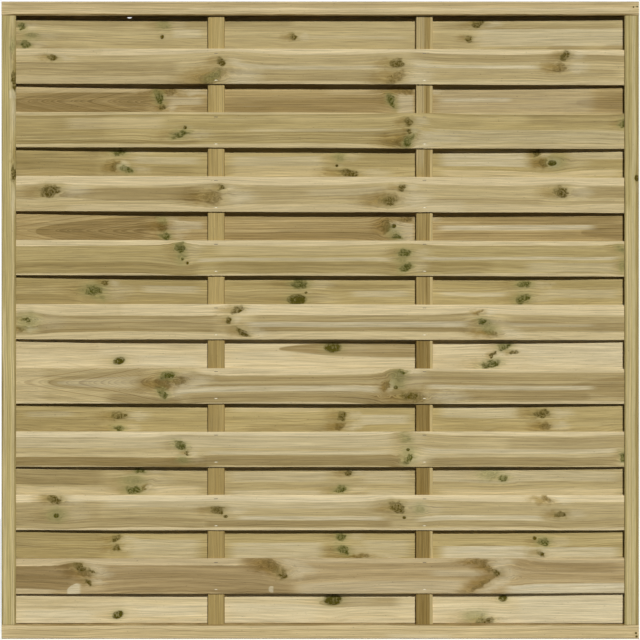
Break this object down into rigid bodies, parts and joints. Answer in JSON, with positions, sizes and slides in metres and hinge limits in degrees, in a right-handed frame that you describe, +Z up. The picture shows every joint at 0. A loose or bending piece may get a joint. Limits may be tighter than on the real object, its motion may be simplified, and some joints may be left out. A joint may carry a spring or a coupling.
{
  "type": "privacy fence panel",
  "caption": "Square woven timber fence panel: horizontal slats fixed alternately to the front and back of upright battens inside a grooved frame, to screen a garden boundary.",
  "frame": {"origin": "middle of the bottom rail's underside, half way through the panel's depth", "axes": "+X to the right and +Z up seen from the front, +Y from the front to the back"},
  "size_m": [1.8, 0.04, 1.8],
  "materials": {
    "frame_timber": "planed, treated",
    "batten_timber": "planed, treated",
    "slat_timber": "planed, treated",
    "staple_wire": "galvanised"
  },
  "bodies": {
    "root": {"top_rail": "frame_timber", "bottom_rail": "frame_timber", "left_stile": "frame_timber", "right_stile": "frame_timber", "left_batten": "batten_timber", "right_batten": "batten_timber", "front_slat_01": "slat_timber", "front_slat_02": "slat_timber", "front_slat_03": "slat_timber", "front_slat_04": "slat_timber", "front_slat_05": "slat_timber", "front_slat_06": "slat_timber", "front_slat_07": "slat_timber", "front_slat_08": "slat_timber", "front_slat_09": "slat_timber", "back_slat_01": "slat_timber", "back_slat_02": "slat_timber", "back_slat_03": "slat_timber", "back_slat_04": "slat_timber", "back_slat_05": "slat_timber", "back_slat_06": "slat_timber", "back_slat_07": "slat_timber", "back_slat_08": "slat_timber", "back_slat_09": "slat_timber", "back_slat_10": "slat_timber", "front_staples": "staple_wire", "back_staples": "staple_wire", "frame_staples": "staple_wire"}
  },
  "joints": []
}
